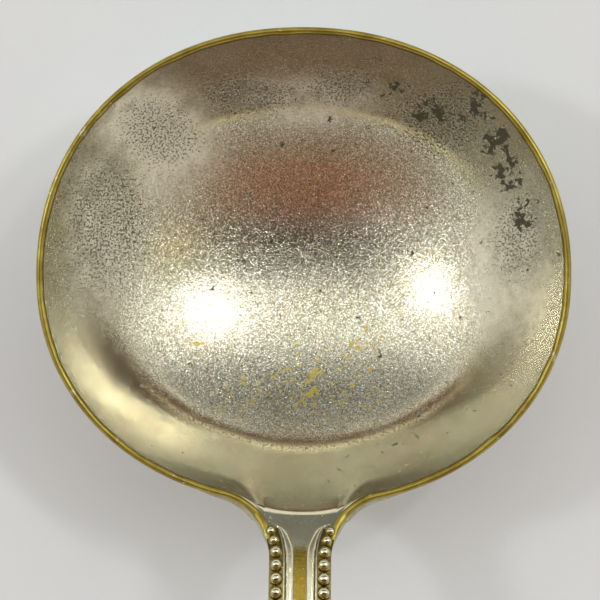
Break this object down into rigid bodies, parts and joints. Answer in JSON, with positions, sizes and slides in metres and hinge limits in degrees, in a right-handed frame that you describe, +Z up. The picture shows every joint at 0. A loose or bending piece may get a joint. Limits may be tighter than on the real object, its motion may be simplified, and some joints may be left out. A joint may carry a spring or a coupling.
{
  "type": "ladle spoon",
  "caption": "Wide, deep, round-bowled serving spoon with a brass edge and an arched, beaded handle, silver plate worn through to brass",
  "frame": {"origin": "centre of the small flat under the bowl, on the table", "axes": "+Z up out of the bowl, +Y from the handle's tip towards the bowl's front edge, +X to the right seen from above with the handle pointing down; x = 0 is the mirror plane"},
  "size_m": [0.06, 0.17, 0.0281],
  "materials": {
    "bowl_plate": "old silver plate over brass: finely scratched, pitted, tarnished and freckled with bare brass",
    "bare_brass": "polished by wear, plating gone",
    "back_plate": "old silver plate over brass, lightly scratched and tarnished",
    "handle_plate": "old silver plate over brass, worn through down the middle of the face",
    "bead_plate": "old silver plate over brass, bright, with worn brass shoulders and dark gaps"
  },
  "bodies": {
    "root": {"bowl": "bowl_plate", "rim_wire": "bare_brass", "heel_drop": "back_plate", "stem": "handle_plate", "bead_row_left": "bead_plate", "bead_row_right": "bead_plate", "tip_bead": "bead_plate", "thread_left": "handle_plate", "thread_right": "handle_plate"}
  },
  "joints": []
}
